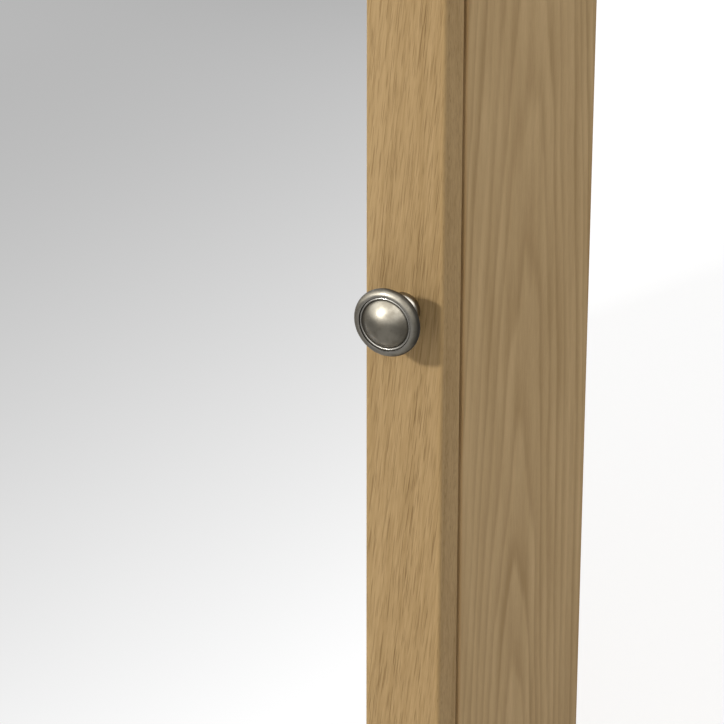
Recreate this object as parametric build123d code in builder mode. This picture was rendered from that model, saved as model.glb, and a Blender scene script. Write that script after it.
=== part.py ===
from build123d import *
import os
from math import sqrt

# A mirror cabinet with one door, framed in oak, that hangs on a bathroom wall. Sizes are in
# millimetres. The origin is the middle of the back, at the wall: +X runs towards the knob
# side, +Y into the wall and +Z up.

# Carcass: two sides with a top and a bottom board between them, and a back let into all four.
cabinet_width = 450.0
cabinet_height = 640.0
carcass_depth = 145.0
side_thickness = 16.0
board_thickness = 16.0
carcass_arris = 0.8
back_thickness = 6.0
back_lap = 8.0
back_clearance = 0.3

# Hanging rails inside the top and the bottom, with the holes for the wall screws.
rail_height = 50.0
rail_thickness = 16.0
wall_hole_radius = 2.5
wall_hole_span = 340.0

# Dowels of the top and bottom boards, and the thinner ones of the hanging rails.
dowel_radius = 4.0
dowel_length = 30.0
dowel_depth_in_side = 10.0
dowel_setback = 32.0
rail_dowel_radius = 3.0
rail_dowel_length = 24.0
rail_dowel_depth_in_side = 9.0
rail_dowel_spacing = 26.0
dowel_chamfer = 0.8
dowel_end_room = 1.0
dowel_clearance = 0.05

# Shelves, and the flat-tongued pins that carry them.
shelf_thickness = 12.0
shelf_setback = 20.0
shelf_side_clearance = 1.0
shelf_back_clearance = 0.5
shelf_arris = 1.5
lower_compartment = 198.0
middle_compartment = 194.0
shelf_pin_radius = 2.5
shelf_pin_hole_depth = 9.0
shelf_pin_end_room = 0.5
shelf_pin_clearance = 0.05
shelf_pin_reach = 9.0
shelf_pin_tongue_width = 9.0
shelf_pin_tongue_thickness = 1.6
shelf_pin_setback = 25.0
spare_hole_pitch = 32.0

# Door frame, a little shorter than the carcass.
door_thickness = 19.0
door_end_setback = 1.0
stile_width = 38.0
door_rail_width = 38.0
door_arris = 1.5
door_back_arris = 0.8
sight_arris = 0.6
lip_thickness = 6.0
rebate_width = 9.0
tenon_length = 25.0
tenon_thickness = 7.0
tenon_shoulder = 4.5
tenon_clearance = 0.1
tenon_end_room = 1.0

# Mirror, the board behind it and the beads that hold both in the rebate.
mirror_thickness = 4.0
mirror_clearance = 1.0
mirror_edge_chamfer = 0.5
backing_thickness = 3.0
bead_width = 8.5
bead_round = 3.0
bead_recess = 0.3
bead_mitre_clearance = 0.1
bead_pin_radius = 0.6
bead_pin_length = 13.0
bead_pin_clearance = 0.05
side_bead_pin_spacing = 180.0
end_bead_pin_spacing = 200.0

# Knob: a round foot, a coved neck, a thick rounded rim and a dome inside a thin ring.
knob_radius = 16.0
knob_projection = 24.5
knob_rim_level = 17.3
knob_rim_round = 2.8
knob_neck_radius = 5.0
knob_foot_radius = 8.0
knob_foot_thickness = 4.2
knob_foot_round = 2.4
knob_groove_radius = 12.7
knob_groove_level = 19.2
knob_ring_radius = 12.0
knob_ring_wire_radius = 0.5
knob_dome_radius = 11.2
knob_screw_radius = 2.0
knob_screw_clearance = 0.05
knob_screw_grip = 11.0
knob_screw_end_room = 1.0
knob_screw_head_radius = 3.6
knob_screw_head_height = 2.4
washer_radius = 4.8
washer_thickness = 0.8
knob_counterbore_depth = 4.0
knob_counterbore_clearance = 0.3

# Butt hinges. Their leaves aren't let in, so two leaves and the slit between them make the
# gap behind the door.
leaf_thickness = 1.6
leaf_slit = 0.1
leaf_width = 17.0
hinge_length = 50.0
knuckle_count = 5
knuckle_gap = 0.3
knuckle_wall = 1.2
hinge_pin_radius = 1.5
hinge_pin_clearance = 0.05
hinge_pin_head_radius = 2.4
hinge_pin_head_height = 1.2
hinge_side_clearance = 0.25
hinge_inset = 90.0

# Countersunk wood screws.
hinge_screw_radius = 1.4
hinge_screw_length = 14.0
hinge_screw_spacing = 32.0
back_screw_radius = 1.4
back_screw_head_height = 1.4
back_screw_length = 14.0
back_screw_inset = 70.0
catch_screw_radius = 1.4
catch_screw_head_height = 1.4
catch_screw_length = 12.0
striker_screw_radius = 1.4
striker_screw_length = 11.0
screw_clearance = 0.05
countersink_angle = 90.0
cross_width = 0.6
cross_depth = 0.7

# Magnetic catch inside the knob side, and its striker plate on the door.
catch_drop = 50.0
catch_length = 28.0
catch_width = 14.0
catch_body_depth = 15.0
catch_ear_length = 9.0
catch_ear_thickness = 4.0
catch_ear_depth = 12.0
catch_setback = 0.5
catch_round = 1.0
magnet_length = 20.0
magnet_thickness = 5.0
magnet_depth = 10.0
pole_plate_thickness = 1.2
catch_pocket_clearance = 0.1
catch_touch_clearance = 0.3
striker_thickness = 1.2
striker_width = 11.0
striker_length = 28.0
striker_corner = 2.0

# Rubber bumpers on the door.
bumper_radius = 4.0
bumper_clearance = 0.3
bumper_round = 1.0
bumper_inset = 28.0

# Places that follow from the sizes above.
half_width = cabinet_width / 2
half_height = cabinet_height / 2
inner_half_width = half_width - side_thickness
inner_half_height = half_height - board_thickness
board_mid_level = half_height - board_thickness / 2
carcass_front = -carcass_depth
back_face = -back_thickness
recess_half_width = inner_half_width + back_lap
recess_half_height = inner_half_height + back_lap

door_gap = 2 * leaf_thickness + leaf_slit
door_back = carcass_front - door_gap
door_front = door_back - door_thickness
door_half_height = half_height - door_end_setback
sight_half_width = half_width - stile_width
sight_half_height = door_half_height - door_rail_width
pocket_half_width = sight_half_width + rebate_width
pocket_half_height = sight_half_height + rebate_width
mirror_front = door_front + lip_thickness
mirror_back = mirror_front + mirror_thickness
backing_back = mirror_back + backing_thickness
bead_back = door_back - bead_recess
bead_thickness = bead_back - backing_back
bead_pin_level = (bead_back + backing_back) / 2
knob_x = half_width - stile_width / 2

TOWARDS_WALL = (0, 1, 0)
TOWARDS_ROOM = (0, -1, 0)


def facing(point, normal):
    """The plane through a point whose normal is the way that a screw's head faces."""
    return Plane(origin=point, z_dir=normal)


def countersunk_screw(shank_radius, head_height, length):
    """A wood screw with its flat head at z = 0 and its point at z = -length."""
    head_radius = shank_radius + head_height
    point_length = 2 * shank_radius
    with BuildPart() as screw:
        with BuildSketch(Plane.XZ):
            with BuildLine():
                Polyline(
                    (0, 0),
                    (head_radius, 0),
                    (shank_radius, -head_height),
                    (shank_radius, point_length - length),
                    (0, -length),
                    close=True,
                )
            make_face()
        revolve(axis=Axis.Z)
        with BuildSketch():
            Rectangle(head_radius, cross_width)
            Rectangle(cross_width, head_radius)
        extrude(amount=-cross_depth, mode=Mode.SUBTRACT)
    return screw.part


def dowel(radius, length):
    """A dowel along X with chamfered ends, its middle at the origin."""
    with BuildPart() as peg:
        Cylinder(radius, length, rotation=(0, 90, 0))
        chamfer(peg.edges().filter_by(GeomType.CIRCLE), dowel_chamfer)
    return peg.part


# Where the dowels enter each side: the board dowels, then the rail dowels.
dowel_rows = [carcass_front + dowel_setback, -dowel_setback]
board_dowel_places = [
    (y, z) for y in dowel_rows for z in (-board_mid_level, board_mid_level)
]
rail_mid_level = inner_half_height - rail_height / 2
rail_mid_depth = back_face - rail_thickness / 2
rail_dowel_places = [
    (rail_mid_depth, end * rail_mid_level + step * rail_dowel_spacing / 2)
    for end in (-1, 1)
    for step in (-1, 1)
]

# Where the shelves and their pins are. A pin's tongue lies level with the top of its stem.
shelf_back = back_face - shelf_back_clearance
shelf_front = carcass_front + shelf_setback
lower_shelf_level = -inner_half_height + lower_compartment
upper_shelf_level = lower_shelf_level + shelf_thickness + middle_compartment
shelf_levels = {"lower": lower_shelf_level, "upper": upper_shelf_level}
shelf_pin_rows = [shelf_front + shelf_pin_setback, shelf_back - shelf_pin_setback]
shelf_pin_hole_places = [
    (y, level - shelf_pin_radius + step * spare_hole_pitch)
    for level in shelf_levels.values()
    for y in shelf_pin_rows
    for step in (-1, 0, 1)
]

# Where the back's screws are, as x and z: on the laps, clear of the corners.
back_screw_column = inner_half_width + back_lap / 2
back_screw_row = inner_half_height + back_lap / 2
back_side_screw_levels = [
    step * (recess_half_height - back_screw_inset) for step in (-1, 0, 1)
]
back_end_screw_x = recess_half_width - back_screw_inset
back_screw_places = [
    (side * back_screw_column, z) for side in (-1, 1) for z in back_side_screw_levels
] + [(side * back_end_screw_x, end * back_screw_row) for side in (-1, 1) for end in (-1, 1)]

# The hinge axis stands outside the left side, in the middle of the gap behind the door.
knuckle_radius = hinge_pin_radius + hinge_pin_clearance + knuckle_wall
hinge_x = -half_width - hinge_side_clearance - knuckle_radius
hinge_y = carcass_front - door_gap / 2
hinge_levels = {"upper": half_height - hinge_inset, "lower": hinge_inset - half_height}
hinge_screw_x = -half_width + side_thickness / 2
hinge_screw_levels = [
    level + step * hinge_screw_spacing / 2
    for level in hinge_levels.values()
    for step in (-1, 1)
]

# The catch hangs inside the knob side, and its striker faces its middle.
catch_level = inner_half_height - catch_drop
catch_x = inner_half_width - catch_width / 2
catch_face = carcass_front + catch_setback
catch_screw_x = inner_half_width - catch_ear_thickness
catch_screw_y = catch_face + catch_ear_depth / 2
catch_screw_offset = (catch_length + catch_ear_length) / 2
catch_screw_levels = [catch_level + step * catch_screw_offset for step in (-1, 1)]
striker_face = door_back + striker_thickness
pole_tip = striker_face + catch_touch_clearance


def drill_back_screws():
    """Cut the back screws' holes out of the carcass piece being built."""
    hole_depth = back_screw_length + screw_clearance
    for x, z in back_screw_places:
        with Locations(facing((x, 0, z), TOWARDS_WALL)):
            Hole(back_screw_radius + screw_clearance, hole_depth)


def cut_back_recess():
    """Cut the recess that takes the back panel out of the carcass board being built."""
    with Locations((0, -back_thickness / 2, 0)):
        Box(
            2 * recess_half_width,
            back_thickness,
            2 * recess_half_height,
            mode=Mode.SUBTRACT,
        )


# Carcass sides. Both carry the boards, the rails and the shelves; the left one also takes
# the hinges and the right one the catch.
def side_panel(name, side):
    """The side on the knob's hand (side = 1) or on the hinges' hand (side = -1)."""
    inner_face = side * inner_half_width
    inwards = (-side, 0, 0)
    with BuildPart() as panel:
        with Locations((side * (half_width - side_thickness / 2), -carcass_depth / 2, 0)):
            Box(side_thickness, carcass_depth, cabinet_height)
        outer_face = panel.faces().sort_by(Axis.X)[-1 if side > 0 else 0]
        fillet(outer_face.edges(), carcass_arris)
        cut_back_recess()
        for y, z in board_dowel_places:
            with Locations(facing((inner_face, y, z), inwards)):
                Hole(dowel_radius + dowel_clearance, dowel_depth_in_side + dowel_end_room)
        for y, z in rail_dowel_places:
            with Locations(facing((inner_face, y, z), inwards)):
                Hole(
                    rail_dowel_radius + dowel_clearance,
                    rail_dowel_depth_in_side + dowel_end_room,
                )
        for y, z in shelf_pin_hole_places:
            with Locations(facing((inner_face, y, z), inwards)):
                Hole(shelf_pin_radius, shelf_pin_hole_depth)
        drill_back_screws()
        if side < 0:
            for z in hinge_screw_levels:
                with Locations(facing((hinge_screw_x, carcass_front, z), TOWARDS_ROOM)):
                    Hole(hinge_screw_radius + screw_clearance, hinge_screw_length)
        else:
            for z in catch_screw_levels:
                with Locations(facing((inner_face, catch_screw_y, z), inwards)):
                    Hole(
                        catch_screw_radius + screw_clearance,
                        catch_screw_length - catch_ear_thickness + screw_clearance,
                    )
    panel.part.label = name
    export_step(panel.part, f"parts/{name}.step")


# Top and bottom boards, dowelled between the sides.
def carcass_board(name, end):
    """The top board (end = 1) or the bottom board (end = -1)."""
    with BuildPart() as board:
        with Locations((0, -carcass_depth / 2, end * board_mid_level)):
            Box(2 * inner_half_width, carcass_depth, board_thickness)
        front_edges = board.edges().filter_by(Axis.X).group_by(Axis.Y)[0]
        fillet(front_edges, carcass_arris)
        cut_back_recess()
        for side in (-1, 1):
            for y in dowel_rows:
                end_face = (side * inner_half_width, y, end * board_mid_level)
                with Locations(facing(end_face, (side, 0, 0))):
                    Hole(
                        dowel_radius + dowel_clearance,
                        dowel_length - dowel_depth_in_side + dowel_end_room,
                    )
        drill_back_screws()
    board.part.label = name
    export_step(board.part, f"parts/{name}.step")


# Hanging rails, dowelled between the sides against the back's inner face.
def hanging_rail(name, end):
    """The upper rail (end = 1) or the lower rail (end = -1), with two wall-screw holes."""
    with BuildPart() as rail:
        with Locations((0, rail_mid_depth, end * rail_mid_level)):
            Box(2 * inner_half_width, rail_thickness, rail_height)
        for side in (-1, 1):
            for step in (-1, 1):
                level = end * rail_mid_level + step * rail_dowel_spacing / 2
                end_face = (side * inner_half_width, rail_mid_depth, level)
                with Locations(facing(end_face, (side, 0, 0))):
                    Hole(
                        rail_dowel_radius + dowel_clearance,
                        rail_dowel_length - rail_dowel_depth_in_side + dowel_end_room,
                    )
            wall_hole = (side * wall_hole_span / 2, back_face, end * rail_mid_level)
            with Locations(facing(wall_hole, TOWARDS_WALL)):
                Hole(wall_hole_radius)
    rail.part.label = name
    export_step(rail.part, f"parts/{name}.step")


os.makedirs("parts", exist_ok=True)
side_panel("side_panel_left", -1)
side_panel("side_panel_right", 1)
carcass_board("top_board", 1)
carcass_board("bottom_board", -1)
hanging_rail("hanging_rail_upper", 1)
hanging_rail("hanging_rail_lower", -1)

# Back panel, let into the carcass flush with its rear edges.
with BuildPart() as back_panel:
    with Locations((0, -back_thickness / 2, 0)):
        Box(
            2 * (recess_half_width - back_clearance),
            back_thickness,
            2 * (recess_half_height - back_clearance),
        )
    for x, z in back_screw_places:
        with Locations(facing((x, 0, z), TOWARDS_WALL)):
            CounterSinkHole(
                back_screw_radius + screw_clearance,
                back_screw_radius + back_screw_head_height + screw_clearance,
                counter_sink_angle=countersink_angle,
            )
    for side in (-1, 1):
        for end in (-1, 1):
            wall_hole = (side * wall_hole_span / 2, 0, end * rail_mid_level)
            with Locations(facing(wall_hole, TOWARDS_WALL)):
                Hole(wall_hole_radius)
back_panel.part.label = "back_panel"
export_step(back_panel.part, "parts/back_panel.step")

# Screws that hold the back panel.
back_screw = countersunk_screw(back_screw_radius, back_screw_head_height, back_screw_length)
with BuildPart() as back_screws:
    with Locations(*[facing((x, 0, z), TOWARDS_WALL) for x, z in back_screw_places]):
        add(back_screw)
back_screws.part.label = "back_screws"
export_step(back_screws.part, "parts/back_screws.step")

# Dowels of the boards and of the hanging rails.
board_dowel = dowel(dowel_radius, dowel_length)
board_dowel_x = inner_half_width + dowel_depth_in_side - dowel_length / 2
with BuildPart() as board_dowels:
    with Locations(
        *[(side * board_dowel_x, y, z) for side in (-1, 1) for y, z in board_dowel_places]
    ):
        add(board_dowel)
board_dowels.part.label = "board_dowels"
export_step(board_dowels.part, "parts/board_dowels.step")

rail_dowel = dowel(rail_dowel_radius, rail_dowel_length)
rail_dowel_x = inner_half_width + rail_dowel_depth_in_side - rail_dowel_length / 2
with BuildPart() as rail_dowels:
    with Locations(
        *[(side * rail_dowel_x, y, z) for side in (-1, 1) for y, z in rail_dowel_places]
    ):
        add(rail_dowel)
rail_dowels.part.label = "rail_dowels"
export_step(rail_dowels.part, "parts/rail_dowels.step")

# Shelves, each resting on the tongues of four pins.
for place, level in shelf_levels.items():
    with BuildPart() as shelf:
        with Locations((0, (shelf_front + shelf_back) / 2, level + shelf_thickness / 2)):
            Box(
                2 * (inner_half_width - shelf_side_clearance),
                shelf_back - shelf_front,
                shelf_thickness,
            )
        fillet(shelf.edges().filter_by(Axis.X).group_by(Axis.Y)[0], shelf_arris)
    shelf.part.label = f"shelf_{place}"
    export_step(shelf.part, f"parts/shelf_{place}.step")

# A shelf pin points along +X: its stem goes into the side, its tongue carries the shelf.
stem_depth = shelf_pin_hole_depth - shelf_pin_end_room
stem_radius = shelf_pin_radius - shelf_pin_clearance
with BuildPart() as shelf_pin:
    with Locations(((stem_depth - shelf_pin_reach) / 2, 0, -shelf_pin_radius)):
        Cylinder(stem_radius, stem_depth + shelf_pin_reach, rotation=(0, 90, 0))
    with Locations((-shelf_pin_reach / 2, 0, -shelf_pin_tongue_thickness / 2)):
        Box(shelf_pin_reach, shelf_pin_tongue_width, shelf_pin_tongue_thickness)

for place, level in shelf_levels.items():
    with BuildPart() as shelf_pins:
        for y in shelf_pin_rows:
            with Locations((inner_half_width, y, level)):
                add(shelf_pin.part)
            with Locations((-inner_half_width, y, level)):
                add(shelf_pin.part, rotation=(0, 0, 180))
    shelf_pins.part.label = f"shelf_pins_{place}"
    export_step(shelf_pins.part, f"parts/shelf_pins_{place}.step")


# Door frame. The rails' tenons sit in the stiles' mortises, and a stopped rebate round the
# back of the frame takes the mirror.
tenon_mid_level = door_half_height - (door_rail_width - rebate_width) / 2
tenon_width = door_rail_width - rebate_width - 2 * tenon_shoulder
door_mid_depth = door_front + door_thickness / 2
side_bead_pin_levels = [step * side_bead_pin_spacing for step in (-1, 0, 1)]
end_bead_pin_x = end_bead_pin_spacing / 2
bead_pin_hole_depth = bead_pin_length - bead_width + bead_pin_clearance


def cut_mirror_rebate():
    """Cut the rebate for the mirror, its backing and its beads out of the frame piece."""
    rebate_depth = door_thickness - lip_thickness
    with Locations((0, door_back - rebate_depth / 2, 0)):
        Box(
            2 * pocket_half_width,
            rebate_depth,
            2 * pocket_half_height,
            mode=Mode.SUBTRACT,
        )


def door_stile(name, side):
    """The stile that carries the knob (side = 1) or the hinges (side = -1)."""
    outer, inner = (-1, 0) if side > 0 else (0, -1)
    with BuildPart() as stile:
        with Locations((side * (half_width - stile_width / 2), door_mid_depth, 0)):
            Box(stile_width, door_thickness, 2 * door_half_height)
        uprights = stile.edges().filter_by(Axis.Z)
        sight_edge = uprights.group_by(Axis.Y)[0].sort_by(Axis.X)[inner]
        back_edge = uprights.group_by(Axis.Y)[-1].sort_by(Axis.X)[outer]
        fillet(sight_edge, sight_arris)
        fillet(back_edge, door_back_arris)
        uprights = stile.edges().filter_by(Axis.Z)
        front_edge = uprights.group_by(Axis.Y)[0].sort_by(Axis.X)[outer]
        end_edges = stile.edges().filter_by(Axis.X).group_by(Axis.Y)[0]
        fillet([front_edge, *end_edges], door_arris)
        cut_mirror_rebate()
        for end in (-1, 1):
            mortise_depth = tenon_length + tenon_end_room
            mortise_x = side * (sight_half_width + mortise_depth / 2)
            with Locations((mortise_x, door_mid_depth, end * tenon_mid_level)):
                Box(
                    mortise_depth,
                    tenon_thickness + 2 * tenon_clearance,
                    tenon_width + 2 * tenon_clearance,
                    mode=Mode.SUBTRACT,
                )
        for z in side_bead_pin_levels:
            rebate_wall = (side * pocket_half_width, bead_pin_level, z)
            with Locations(facing(rebate_wall, (-side, 0, 0))):
                Hole(bead_pin_radius + bead_pin_clearance, bead_pin_hole_depth)
        if side < 0:
            for z in hinge_screw_levels:
                with Locations(facing((hinge_screw_x, door_back, z), TOWARDS_WALL)):
                    Hole(hinge_screw_radius + screw_clearance, hinge_screw_length)
        else:
            with Locations(facing((knob_x, door_back, 0), TOWARDS_WALL)):
                CounterBoreHole(
                    knob_screw_radius + knob_screw_clearance,
                    washer_radius + knob_counterbore_clearance,
                    knob_counterbore_depth,
                )
            with Locations(facing((catch_x, door_back, catch_level), TOWARDS_WALL)):
                Hole(striker_screw_radius + screw_clearance, striker_screw_length)
    stile.part.label = name
    export_step(stile.part, f"parts/{name}.step")


def door_rail(name, end):
    """The top rail (end = 1) or the bottom rail (end = -1), with a tenon at each end."""
    outer, inner = (-1, 0) if end > 0 else (0, -1)
    with BuildPart() as rail:
        with Locations((0, door_mid_depth, end * (door_half_height - door_rail_width / 2))):
            Box(2 * sight_half_width, door_thickness, door_rail_width)
        long_edges = rail.edges().filter_by(Axis.X)
        sight_edge = long_edges.group_by(Axis.Y)[0].sort_by(Axis.Z)[inner]
        fillet(sight_edge, sight_arris)
        long_edges = rail.edges().filter_by(Axis.X)
        front_edge = long_edges.group_by(Axis.Y)[0].sort_by(Axis.Z)[outer]
        fillet(front_edge, door_arris)
        cut_mirror_rebate()
        with Locations((0, door_mid_depth, end * tenon_mid_level)):
            Box(2 * (sight_half_width + tenon_length), tenon_thickness, tenon_width)
        for side in (-1, 1):
            rebate_wall = (side * end_bead_pin_x, bead_pin_level, end * pocket_half_height)
            with Locations(facing(rebate_wall, (0, 0, -end))):
                Hole(bead_pin_radius + bead_pin_clearance, bead_pin_hole_depth)
    rail.part.label = name
    export_step(rail.part, f"parts/{name}.step")


door_stile("door_stile_knob", 1)
door_stile("door_stile_hinge", -1)
door_rail("door_rail_top", 1)
door_rail("door_rail_bottom", -1)

# Mirror glass and the backing board behind it, both with room to move in the rebate.
pane_width = 2 * (pocket_half_width - mirror_clearance)
pane_height = 2 * (pocket_half_height - mirror_clearance)
with BuildPart() as mirror_glass:
    with Locations((0, (mirror_front + mirror_back) / 2, 0)):
        Box(pane_width, mirror_thickness, pane_height)
    chamfer(mirror_glass.faces().sort_by(Axis.Y)[0].edges(), mirror_edge_chamfer)
mirror_glass.part.label = "mirror_glass"
export_step(mirror_glass.part, "parts/mirror_glass.step")

with BuildPart() as mirror_backing:
    with Locations((0, (mirror_back + backing_back) / 2, 0)):
        Box(pane_width, backing_thickness, pane_height)
mirror_backing.part.label = "mirror_backing"
export_step(mirror_backing.part, "parts/mirror_backing.step")


# Mitred beads round the back of the mirror, each with its row of pins. A bead is drawn with
# its outward way along the sketch's x and its length along the sketch's y.
bead_pin_lines = []


def bead(name, outward, reach, half_length, pin_offsets):
    """A bead whose outer face is reach from the middle, in the direction outward."""
    sketch_plane = Plane(origin=(0, bead_back, 0), x_dir=outward, z_dir=TOWARDS_ROOM)
    long_half = half_length - bead_mitre_clearance
    short_half = long_half - bead_width
    with BuildPart() as strip:
        with BuildSketch(sketch_plane):
            with BuildLine():
                Polyline(
                    (reach, -long_half),
                    (reach, long_half),
                    (reach - bead_width, short_half),
                    (reach - bead_width, -short_half),
                    close=True,
                )
            make_face()
        extrude(amount=bead_thickness)
        pin_plane = Plane(origin=(0, bead_pin_level, 0), x_dir=outward, z_dir=TOWARDS_ROOM)
        inner_face = reach - bead_width
        inner_middle = pin_plane.from_local_coords((inner_face, 0, 0))
        rear_edges = strip.faces().sort_by(Axis.Y)[-1].edges()
        fillet(rear_edges.sort_by_distance(inner_middle)[0], bead_round)
        for offset in pin_offsets:
            start = pin_plane.from_local_coords((inner_face, offset, 0))
            bead_pin_lines.append((start, outward))
            with Locations(facing(start, tuple(-part for part in outward))):
                Hole(bead_pin_radius + bead_pin_clearance)
    strip.part.label = name
    export_step(strip.part, f"parts/{name}.step")


end_bead_pins = [-end_bead_pin_x, end_bead_pin_x]
bead("bead_knob_side", (1, 0, 0), pocket_half_width, pocket_half_height, side_bead_pin_levels)
bead("bead_hinge_side", (-1, 0, 0), pocket_half_width, pocket_half_height, side_bead_pin_levels)
bead("bead_top", (0, 0, 1), pocket_half_height, pocket_half_width, end_bead_pins)
bead("bead_bottom", (0, 0, -1), pocket_half_height, pocket_half_width, end_bead_pins)

with BuildPart() as bead_pins:
    for start, outward in bead_pin_lines:
        with BuildSketch(facing(start, outward)):
            Circle(bead_pin_radius)
        extrude(amount=bead_pin_length)
bead_pins.part.label = "bead_pins"
export_step(bead_pins.part, "parts/bead_pins.step")

# Knob, turned about the line through the middle of its stile. The outline runs from the
# foot, up the coved neck, round the rim, down into the groove, over the ring and the dome.
rim_centre_radius = knob_radius - knob_rim_round
cove_radius = rim_centre_radius - knob_neck_radius
rim_underside = knob_rim_level - knob_rim_round
neck_level = rim_underside - cove_radius
cove_drop = knob_foot_thickness - neck_level
neck_root_radius = rim_centre_radius - sqrt(cove_radius**2 - cove_drop**2)
groove_offset = knob_groove_radius - rim_centre_radius
rim_inner_level = knob_rim_level + sqrt(knob_rim_round**2 - groove_offset**2)
ring_outer = (knob_ring_radius + knob_ring_wire_radius, knob_groove_level)
ring_crest = (knob_ring_radius, knob_groove_level + knob_ring_wire_radius)
ring_inner = (knob_ring_radius - knob_ring_wire_radius, knob_groove_level)
foot_shoulder = (knob_foot_radius - knob_foot_round, knob_foot_thickness)
foot_round_mid = knob_foot_round / sqrt(2)
knob_centre = (knob_x, door_front, 0)
with BuildPart() as knob:
    with BuildSketch(Plane(origin=knob_centre, x_dir=(1, 0, 0), z_dir=(0, 0, -1))):
        with BuildLine():
            foot = Polyline(
                (0, knob_projection),
                (0, 0),
                (knob_foot_radius, 0),
                (knob_foot_radius, knob_foot_thickness - knob_foot_round),
            )
            foot_edge = ThreePointArc(
                foot @ 1,
                (
                    foot_shoulder[0] + foot_round_mid,
                    foot_shoulder[1] - knob_foot_round + foot_round_mid,
                ),
                foot_shoulder,
            )
            root = Line(foot_shoulder, (neck_root_radius, knob_foot_thickness))
            neck = ThreePointArc(
                root @ 1,
                (knob_neck_radius, neck_level),
                (rim_centre_radius, rim_underside),
            )
            rim = ThreePointArc(
                neck @ 1,
                (knob_radius, knob_rim_level),
                (knob_groove_radius, rim_inner_level),
            )
            groove = Polyline(
                rim @ 1, (knob_groove_radius, knob_groove_level), ring_outer
            )
            ring = ThreePointArc(groove @ 1, ring_crest, ring_inner)
            inner_groove = Line(ring @ 1, (knob_dome_radius, knob_groove_level))
            dome = TangentArc(foot @ 0, inner_groove @ 1, tangent=(1, 0))
        make_face()
    revolve(axis=Axis(knob_centre, TOWARDS_ROOM))
    with Locations(facing(knob_centre, TOWARDS_WALL)):
        Hole(knob_screw_radius + knob_screw_clearance, knob_screw_grip + knob_screw_end_room)
knob.part.label = "knob"
export_step(knob.part, "parts/knob.step")

# Knob screw and its washer, sunk in the back of the stile.
counterbore_floor = door_back - knob_counterbore_depth
screw_seat = counterbore_floor + washer_thickness
knob_screw_length = screw_seat - door_front + knob_screw_grip
with BuildPart() as knob_washer:
    with BuildSketch(Plane.XZ.offset(-screw_seat)):
        with Locations((knob_x, 0)):
            Circle(washer_radius)
            Circle(knob_screw_radius + knob_screw_clearance, mode=Mode.SUBTRACT)
    extrude(amount=washer_thickness)
knob_washer.part.label = "knob_washer"
export_step(knob_washer.part, "parts/knob_washer.step")

with BuildPart() as knob_screw:
    with BuildSketch(Plane.XZ.offset(-screw_seat)):
        with Locations((knob_x, 0)):
            Circle(knob_screw_radius)
    extrude(amount=knob_screw_length)
    with BuildSketch(Plane.XZ.offset(-screw_seat)):
        with Locations((knob_x, 0)):
            Circle(knob_screw_head_radius)
    extrude(amount=-knob_screw_head_height)
    head_rim = knob_screw.edges().filter_by(GeomType.CIRCLE).sort_by(Axis.Y)[-1]
    fillet(head_rim, knob_screw_head_height / 2)
    with BuildSketch(Plane.XZ.offset(-screw_seat - knob_screw_head_height)):
        with Locations((knob_x, 0)):
            Rectangle(knob_screw_head_radius, cross_width)
            Rectangle(cross_width, knob_screw_head_radius)
    extrude(amount=cross_depth, mode=Mode.SUBTRACT)
knob_screw.part.label = "knob_screw"
export_step(knob_screw.part, "parts/knob_screw.step")


# Butt hinges: the carcass leaf has the end knuckles, the door leaf the ones between.
knuckle_pitch = (hinge_length + knuckle_gap) / knuckle_count
knuckle_length = knuckle_pitch - knuckle_gap


def knuckle_middle(level, index):
    """The level of the middle of a knuckle, counted from the bottom of the hinge."""
    return level + (index - (knuckle_count - 1) / 2) * knuckle_pitch


def hinge_leaf(name, level, side, first_knuckle):
    """The leaf on the carcass (side = 1) or on the door (side = -1), a plate with knuckles."""
    plate_y = hinge_y + side * (leaf_slit + leaf_thickness) / 2
    plate_start = knuckle_radius + knuckle_gap
    slit_face = hinge_y + side * leaf_slit / 2
    knuckle_levels = [
        knuckle_middle(level, index) for index in range(first_knuckle, knuckle_count, 2)
    ]
    with BuildPart() as leaf:
        with Locations((hinge_x + (plate_start + leaf_width) / 2, plate_y, level)):
            Box(leaf_width - plate_start, leaf_thickness, hinge_length)
        for z in knuckle_levels:
            with Locations((hinge_x + plate_start / 2, plate_y, z)):
                Box(plate_start, leaf_thickness, knuckle_length)
            with Locations((hinge_x, hinge_y, z)):
                Cylinder(knuckle_radius, knuckle_length)
        with Locations((hinge_x, hinge_y, level)):
            Cylinder(
                hinge_pin_radius + hinge_pin_clearance,
                hinge_length,
                mode=Mode.SUBTRACT,
            )
        for step in (-1, 1):
            hole = (hinge_screw_x, slit_face, level + step * hinge_screw_spacing / 2)
            with Locations(facing(hole, (0, -side, 0))):
                CounterSinkHole(
                    hinge_screw_radius + screw_clearance,
                    hinge_screw_radius + leaf_thickness + screw_clearance,
                    counter_sink_angle=countersink_angle,
                )
    leaf.part.label = name
    export_step(leaf.part, f"parts/{name}.step")


def hinge_pin(name, level):
    """The pin, with a button head on the top knuckle and a riveted tail under the last."""
    end = hinge_length / 2
    with BuildPart() as pin:
        with Locations((hinge_x, hinge_y, level)):
            Cylinder(hinge_pin_radius, hinge_length)
        for step in (-1, 1):
            with Locations((hinge_x, hinge_y, level + step * (end + hinge_pin_head_height / 2))):
                Cylinder(hinge_pin_head_radius, hinge_pin_head_height)
        rims = pin.edges().filter_by(GeomType.CIRCLE).sort_by(Axis.Z)
        fillet([rims[0], rims[-1]], hinge_pin_head_height / 2)
    pin.part.label = name
    export_step(pin.part, f"parts/{name}.step")


for place, level in hinge_levels.items():
    hinge_leaf(f"hinge_{place}_carcass_leaf", level, 1, 0)
    hinge_leaf(f"hinge_{place}_door_leaf", level, -1, 1)
    hinge_pin(f"hinge_{place}_pin", level)

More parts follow.
